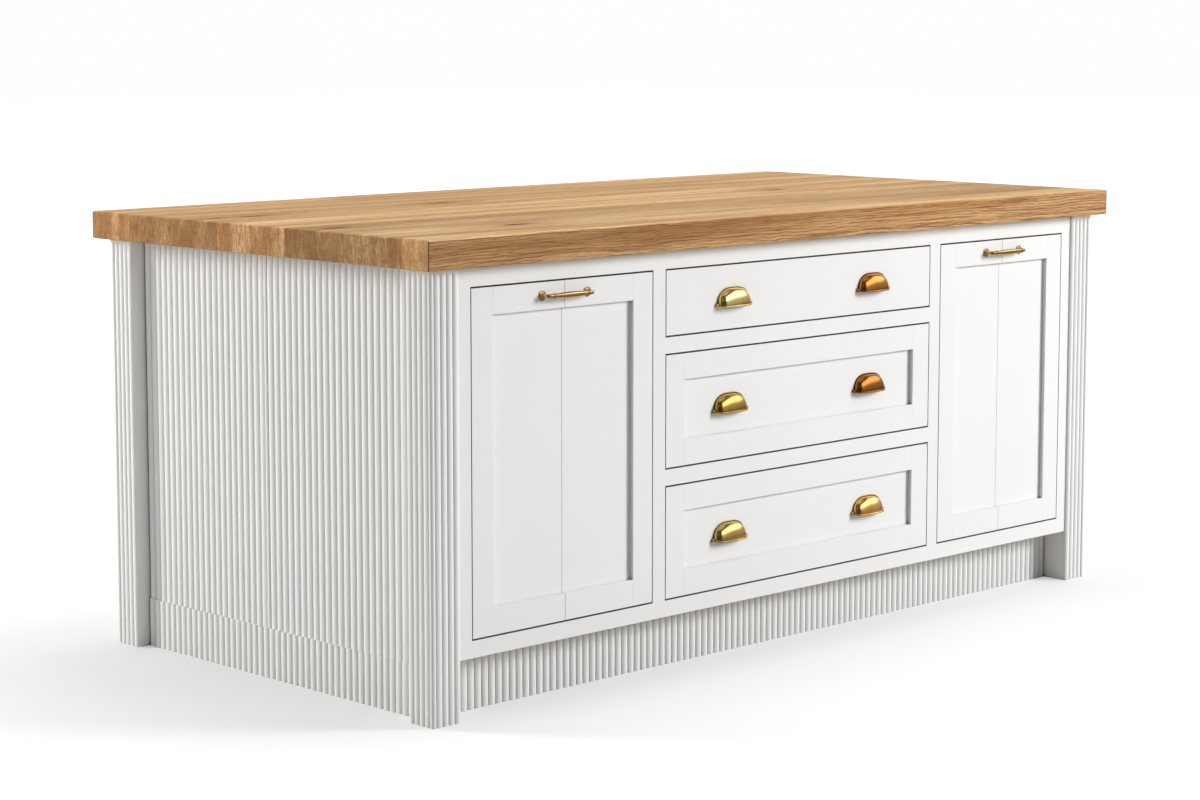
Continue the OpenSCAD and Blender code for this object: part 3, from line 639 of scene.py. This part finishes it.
def piece_from(bm, name, body, finish):
    """Makes a finished piece of a bmesh, rounds its shading and lets it ride on a body."""
    bmesh.ops.remove_doubles(bm, verts=bm.verts, dist=WELD)
    bmesh.ops.recalc_face_normals(bm, faces=bm.faces)
    mesh = bpy.data.meshes.new(name)
    bm.to_mesh(mesh)
    bm.free()
    mesh.shade_smooth()
    mesh.set_sharp_from_angle(angle=math.radians(CRISP_ANGLE))
    mesh.materials.append(finish)
    piece = bpy.data.objects.new(name, mesh)
    bpy.context.scene.collection.objects.link(piece)
    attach(piece, body)
    return piece


def join_to(bm, part, place=Matrix.Identity(4)):
    """Adds a part to a bmesh at a place, and frees the part."""
    mesh = bpy.data.meshes.new("part")
    bmesh.ops.recalc_face_normals(part, faces=part.faces)
    part.to_mesh(mesh)
    part.free()
    mesh.transform(place)
    bm.from_mesh(mesh)
    bpy.data.meshes.remove(mesh)


def turned(outline, segments=40):
    """A turned part about the Y axis. The outline goes from axis to axis as (radius, along),
    along running out from the front, towards -Y."""
    bm = bmesh.new()
    points = [bm.verts.new((radius, -along, 0)) for radius, along in outline]
    edges = [bm.edges.new(pair) for pair in zip(points, points[1:])]
    bmesh.ops.spin(
        bm, geom=points + edges, cent=(0, 0, 0), axis=(0, 1, 0),
        angle=math.tau, steps=segments, use_merge=True,
    )
    bmesh.ops.remove_doubles(bm, verts=bm.verts, dist=WELD)
    return bm


def rounded(bm, amount, sharper_than):
    """Rounds the edges of a part that are sharper than that angle in degrees."""
    sharp = [
        edge for edge in bm.edges
        if edge.is_manifold and edge.calc_face_angle(0) > math.radians(sharper_than)
    ]
    bmesh.ops.bevel(
        bm, geom=sharp, offset=amount, affect="EDGES", segments=3,
        profile=0.5, material=-1, clamp_overlap=True,
    )
    return bm


def tube_along(points, radii, sides=20):
    """A smooth round bar through points, with its own radius at each."""
    curve = bpy.data.curves.new("bar", "CURVE")
    curve.dimensions = "3D"
    curve.bevel_depth = 1.0
    curve.bevel_resolution = sides // 4
    curve.use_fill_caps = True
    spline = curve.splines.new("POLY")
    spline.points.add(len(points) - 1)
    for point, place, radius in zip(spline.points, points, radii):
        point.co = (*place, 1)
        point.radius = radius
    holder = bpy.data.objects.new("bar", curve)
    bpy.context.scene.collection.objects.link(holder)
    bpy.context.view_layer.update()
    mesh = bpy.data.meshes.new_from_object(holder)
    bm = bmesh.new()
    bm.from_mesh(mesh)
    bmesh.ops.remove_doubles(bm, verts=bm.verts, dist=WELD)
    bpy.data.objects.remove(holder)
    bpy.data.curves.remove(curve)
    bpy.data.meshes.remove(mesh)
    return bm


def cup_line(half, most):
    """Points of a cup's outline as (along, reach), from end to end. It is squarer than an
    ellipse, and its reach is most in the middle."""
    steps = 64
    line = []
    for i in range(steps + 1):
        along = -math.cos(math.pi * i / steps)
        reach = max(0.0, 1 - abs(along) ** CUP_SQUARE) ** (1 / CUP_SQUARE)
        line.append((half * along, most * reach))
    return line


def cup_dome(half, out, height):
    """The curved sheet of a cup: its lower edge swung up to the front, then drawn out."""
    bm = bmesh.new()
    verts = [bm.verts.new((x, -reach, 0)) for x, reach in cup_line(half, out)]
    edges = [bm.edges.new(pair) for pair in zip(verts, verts[1:])]
    bmesh.ops.spin(
        bm, geom=verts + edges, cent=(0, 0, 0), axis=(1, 0, 0),
        angle=-math.pi / 2, steps=32, use_merge=False,
    )
    bmesh.ops.scale(bm, vec=(1, 1, height / out), verts=bm.verts)
    bmesh.ops.remove_doubles(bm, verts=bm.verts, dist=WELD)
    bmesh.ops.recalc_face_normals(bm, faces=bm.faces)
    return bm


def cup_shell():
    """The dome with its wall. The wall's edges are closed along the open lower side and
    where it meets the front."""
    out = CUP_OUT - CUP_LIP_PROUD
    bm = cup_dome(CUP_HALF, out, CUP_HEIGHT)
    inner = cup_dome(CUP_HALF - CUP_WALL, out - CUP_WALL, CUP_HEIGHT - CUP_WALL)
    join_to(bm, inner)
    edges = [edge for edge in bm.edges if edge.is_boundary]
    for on_edge in (edges_at(edges, 1), edges_at(edges, 2)):
        bmesh.ops.bridge_loops(bm, edges=on_edge)
    return bm


def edges_at(edges, axis):
    """The edges that lie in the plane where that coordinate is 0."""
    return [e for e in edges if all(abs(v.co[axis]) < WELD for v in e.verts)]


def cut_behind(bm):
    """Cuts off what lies behind the front's face, and closes the cuts."""
    bmesh.ops.bisect_plane(
        bm, geom=bm.verts[:] + bm.edges[:] + bm.faces[:], dist=0.001 * MM,
        plane_co=(0, 0, 0), plane_no=(0, 1, 0), clear_outer=True,
    )
    bmesh.ops.holes_fill(bm, edges=[e for e in bm.edges if e.is_boundary], sides=0)
    return bm


def cup_pull(name, body, seat, finish):
    """One cup pull: dome, rolled lip, rim on the front, a turned foot at each end, and a boss
    for each screw inside. seat is the middle of its lower edge on the front."""
    bm = cup_shell()
    lip_r = CUP_LIP / 2
    lip_line = cup_line(CUP_HALF, CUP_OUT + CUP_WALL / 2 - lip_r)
    lip = [(x, -reach, lip_r) for x, reach in lip_line]
    join_to(bm, cut_behind(tube_along(lip, [lip_r] * len(lip))))
    rim_r = CUP_RIM / 2
    rim_line = cup_line(CUP_HALF + rim_r, CUP_HEIGHT + rim_r)
    rim = [(x, 0, reach) for x, reach in rim_line]
    join_to(bm, cut_behind(tube_along(rim, [rim_r] * len(rim))))
    foot = (
        (0, 0), (CUP_FOOT_R, 0), (CUP_FOOT_R, 2 * MM), (3.2 * MM, 2.8 * MM),
        (3.6 * MM, 4.6 * MM), (2.8 * MM, 6.4 * MM), (0, CUP_FOOT_OUT),
    )
    boss = ((0, 0), (CUP_BOSS_R, 0), (CUP_BOSS_R, CUP_BOSS_OUT), (0, CUP_BOSS_OUT))
    for side in (-1, 1):
        at = (side * (CUP_HALF + CUP_RIM), 0, CUP_FOOT_R)
        join_to(bm, rounded(turned(foot, 28), 0.4 * MM, 25), Matrix.Translation(at))
        at = (side * CUP_SCREWS / 2, 0, CUP_SCREW_Z)
        join_to(bm, turned(boss, 28), Matrix.Translation(at))
    bmesh.ops.translate(bm, vec=seat, verts=bm.verts)
    return piece_from(bm, name, body, finish)


def bar_path():
    """Points and radii of a bar handle from its left rose to its right one."""
    steps = 12
    bend_steps = 8
    straight = BAR_HALF - BAR_BEND
    points = [(-BAR_HALF, 0.0, 0.0)]
    radii = [BAR_END_R]
    for i in range(bend_steps + 1):
        turn = 0.5 * math.pi * i / bend_steps
        x = -straight - BAR_BEND * math.cos(turn)
        y = -BAR_OUT + BAR_BEND - BAR_BEND * math.sin(turn)
        points.append((x, y, 0.0))
        radii.append(BAR_END_R)
    for i in range(1, steps):
        swell = (1 - math.cos(math.pi * i / steps)) / 2
        points.append((straight * (i / steps - 1), -BAR_OUT, 0.0))
        radii.append(BAR_END_R + (BAR_MID_R - BAR_END_R) * swell)
    points.append((0.0, -BAR_OUT, 0.0))
    radii.append(BAR_MID_R)
    mirrored = [(-x, y, z) for x, y, z in reversed(points[:-1])]
    return points + mirrored, radii + radii[-2::-1]


def bar_handle(name, body, seat, finish):
    """One bar handle: a swelling bar bent back to two stepped roses, with a ring near each
    end. seat is the middle between the roses on the front."""
    points, radii = bar_path()
    bm = tube_along(points, radii, 28)
    quarter = Matrix.Rotation(math.radians(90), 4, "Z")
    half_w = BAR_RING_W / 2
    ring = (
        (0, -half_w), (BAR_RING_R - 1.0 * MM, -half_w), (BAR_RING_R, -0.4 * MM),
        (BAR_RING_R, 0.4 * MM), (BAR_RING_R - 1.0 * MM, half_w), (0, half_w),
    )
    rose = (
        (0, 0), (ROSE_R, 0), (ROSE_R, 1.1 * MM), (ROSE_R - 1.8 * MM, 1.7 * MM),
        (ROSE_R - 2.6 * MM, 1.7 * MM), (5.4 * MM, ROSE_T), (5.0 * MM, 4.4 * MM),
        (BAR_END_R, 5.4 * MM), (0, 5.4 * MM),
    )
    for side in (-1, 1):
        at = Matrix.Translation((side * (BAR_HALF - BAR_RING_IN), -BAR_OUT, 0))
        join_to(bm, rounded(turned(ring), 0.3 * MM, 20), at @ quarter)
        at = Matrix.Translation((side * BAR_HALF, 0, 0))
        join_to(bm, rounded(turned(rose, 48), 0.35 * MM, 20), at)
    bmesh.ops.translate(bm, vec=seat, verts=bm.verts)
    return piece_from(bm, name, body, finish)


def fit_cups():
    """Two cup pulls on each drawer, where the frame's cups are."""
    for body, (left_tone, right_tone) in CUP_REFLECTION_TINTS.items():
        node = body + "_cups"
        low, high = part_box(node)
        reach = CUP_HALF + CUP_RIM + CUP_FOOT_R
        left_seat = (low.x + reach, high.y, low.z)
        right_seat = (high.x - reach, high.y, low.z)
        # Each cup's tint paints in its own warm reflection
        left_finish = polished_brass(body + "_left_brass", left_tone)
        right_finish = polished_brass(body + "_right_brass", right_tone)
        first = cup_pull(body + "_cup_left", body, left_seat, left_finish)
        cup_pull(body + "_cup_right", body, right_seat, right_finish)
        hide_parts(node)


def fit_bars():
    """One bar handle on each pull-out, where the frame's handles are."""
    finish = polished_brass("bar_brass", BAR_TONE)
    for body, node in (("left_pullout", "left_handle"), ("right_pullout", "right_handle")):
        low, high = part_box(node)
        middle = (low + high) / 2
        bar = bar_handle(node + "_bar", body, (middle.x, high.y, middle.z), finish)
        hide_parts(node)


# ---- Studio ----


def studio_world():
    """Even white light, a little weaker from where the camera stands. Polished metal sees a
    darker room with bright panels in it."""
    nodes = Nodes(bpy.data.worlds.new("studio"))
    direct, glossy = nodes.rays()
    x, y, z = nodes.split(nodes.node("ShaderNodeTexCoord", output="Generated"))
    # The heading is 0.25 towards -X, 0.5 towards -Y and 0.75 towards +X
    heading = nodes.math("ARCTAN2", x, y * -1) / math.tau + 0.5
    panel = nodes.ramp(heading, (
        (0.205, 0.04), (0.215, 0.60), (0.235, 0.60), (0.245, 0.03), (0.325, 0.03),
        (0.332, 0.40), (0.340, 0.03), (0.475, 0.03), (0.495, 1.0), (0.78, 1.0), (0.83, 0.08),
    ))
    upright = nodes.ramp(z, (
        (0.00, 0.04), (0.05, 0.14), (0.28, 0.18), (0.42, 1.0), (0.62, 1.0), (0.70, 0.02),
    ))
    ceiling = nodes.ramp(z, ((0.78, 0.04), (0.92, 0.80)))
    room = panel * upright * 2.9 + ceiling
    even = 0.27 + (x + y) * 0.15 + z * 0.10
    level = direct + (1 - direct) * (glossy * room + (1 - glossy) * even)
    white = (1.0, 0.995, 0.985, 1)
    nodes.fill(nodes.tree.nodes["Background"], {"Color": white, "Strength": level})
    bpy.context.scene.world = nodes.owner


def softbox(name, place, target, width, height, watts, tint):
    """A soft rectangular lamp that looks at a target."""
    lamp = bpy.data.lights.new(name, "AREA")
    lamp.shape = "RECTANGLE"
    lamp.size = width
    lamp.size_y = height
    lamp.energy = watts
    lamp.color = tint
    holder = bpy.data.objects.new(name, lamp)
    holder.location = place
    holder.rotation_euler = (Vector(target) - Vector(place)).to_track_quat("-Z", "Y").to_euler()
    holder.visible_camera = False
    holder.visible_glossy = False
    bpy.context.scene.collection.objects.link(holder)


def studio_floor():
    """A plain white floor that glows for the camera, brighter far off. A soft shadow is painted
    into the glow beside and behind the body, away from the large lamp. Polished metal sees it
    darker."""
    bm = bmesh.new()
    bmesh.ops.create_grid(bm, x_segments=1, y_segments=1, size=FLOOR_HALF_SIZE)
    mesh = bpy.data.meshes.new("studio_floor")
    bm.to_mesh(mesh)
    bm.free()
    nodes = new_finish("studio_floor")
    direct, glossy = nodes.rays()
    x, y, _ = nodes.split(nodes.place())
    far = nodes.rise(((x ** 2 + y ** 2) ** 0.5) * 0.1, 0.22, 0.42)
    # beside and behind mark where the shadow is painted
    beside = nodes.ramp((x - SHADE_X) / SHADE_L, (
        (0.02, 0.0), (0.19, 0.45), (0.30, 0.92), (0.35, 1.0), (0.74, 1.0), (0.94, 0.0),
    ))
    behind = nodes.ramp((y - SHADE_Y) / SHADE_D, (
        (0.05, 0.0), (0.16, 0.72), (0.29, 0.95), (0.36, 1.0), (0.58, 0.72), (0.68, 0.42),
        (1.0, 0.0),
    ))
    # The glow, with a soft shadow painted into it beside and behind the body
    glow = direct * (0.42 + far * 0.55 - beside * behind * 0.17)
    mesh.materials.append(nodes.surface({
        "Base Color": nodes.mix(glossy, grey(0.50), (0.27, 0.21, 0.15, 1)),
        "Roughness": 0.9,
        "Emission Color": nodes.joined(glow, glow, glow),
        "Emission Strength": 1.0,
    }))
    floor = bpy.data.objects.new("studio_floor", mesh)
    floor.location.z = FLOOR_Z
    bpy.context.scene.collection.objects.link(floor)


def studio_camera():
    """A long lens a little higher than the worktop, off the left front corner."""
    heading = math.radians(CAMERA_HEADING)
    tilt = math.radians(CAMERA_TILT)
    lens = bpy.data.cameras.new("camera")
    lens.sensor_fit = "HORIZONTAL"
    lens.sensor_width = 36
    lens.lens = CAMERA_LENS
    lens.shift_y = CAMERA_SHIFT
    lens.clip_end = 200
    camera = bpy.data.objects.new("camera", lens)
    camera.location = CAMERA_PLACE
    camera.rotation_euler = (math.pi / 2 - tilt, 0, heading - math.pi / 2)
    bpy.context.scene.collection.objects.link(camera)
    bpy.context.scene.camera = camera


def build():
    finish_frame(make_finishes())
    fit_cups()
    fit_bars()
    studio_world()
    for name, lamp in LAMPS.items():
        softbox(name, *lamp)
    studio_floor()
    studio_camera()
    bpy.context.scene.view_settings.view_transform = "Standard"


build()
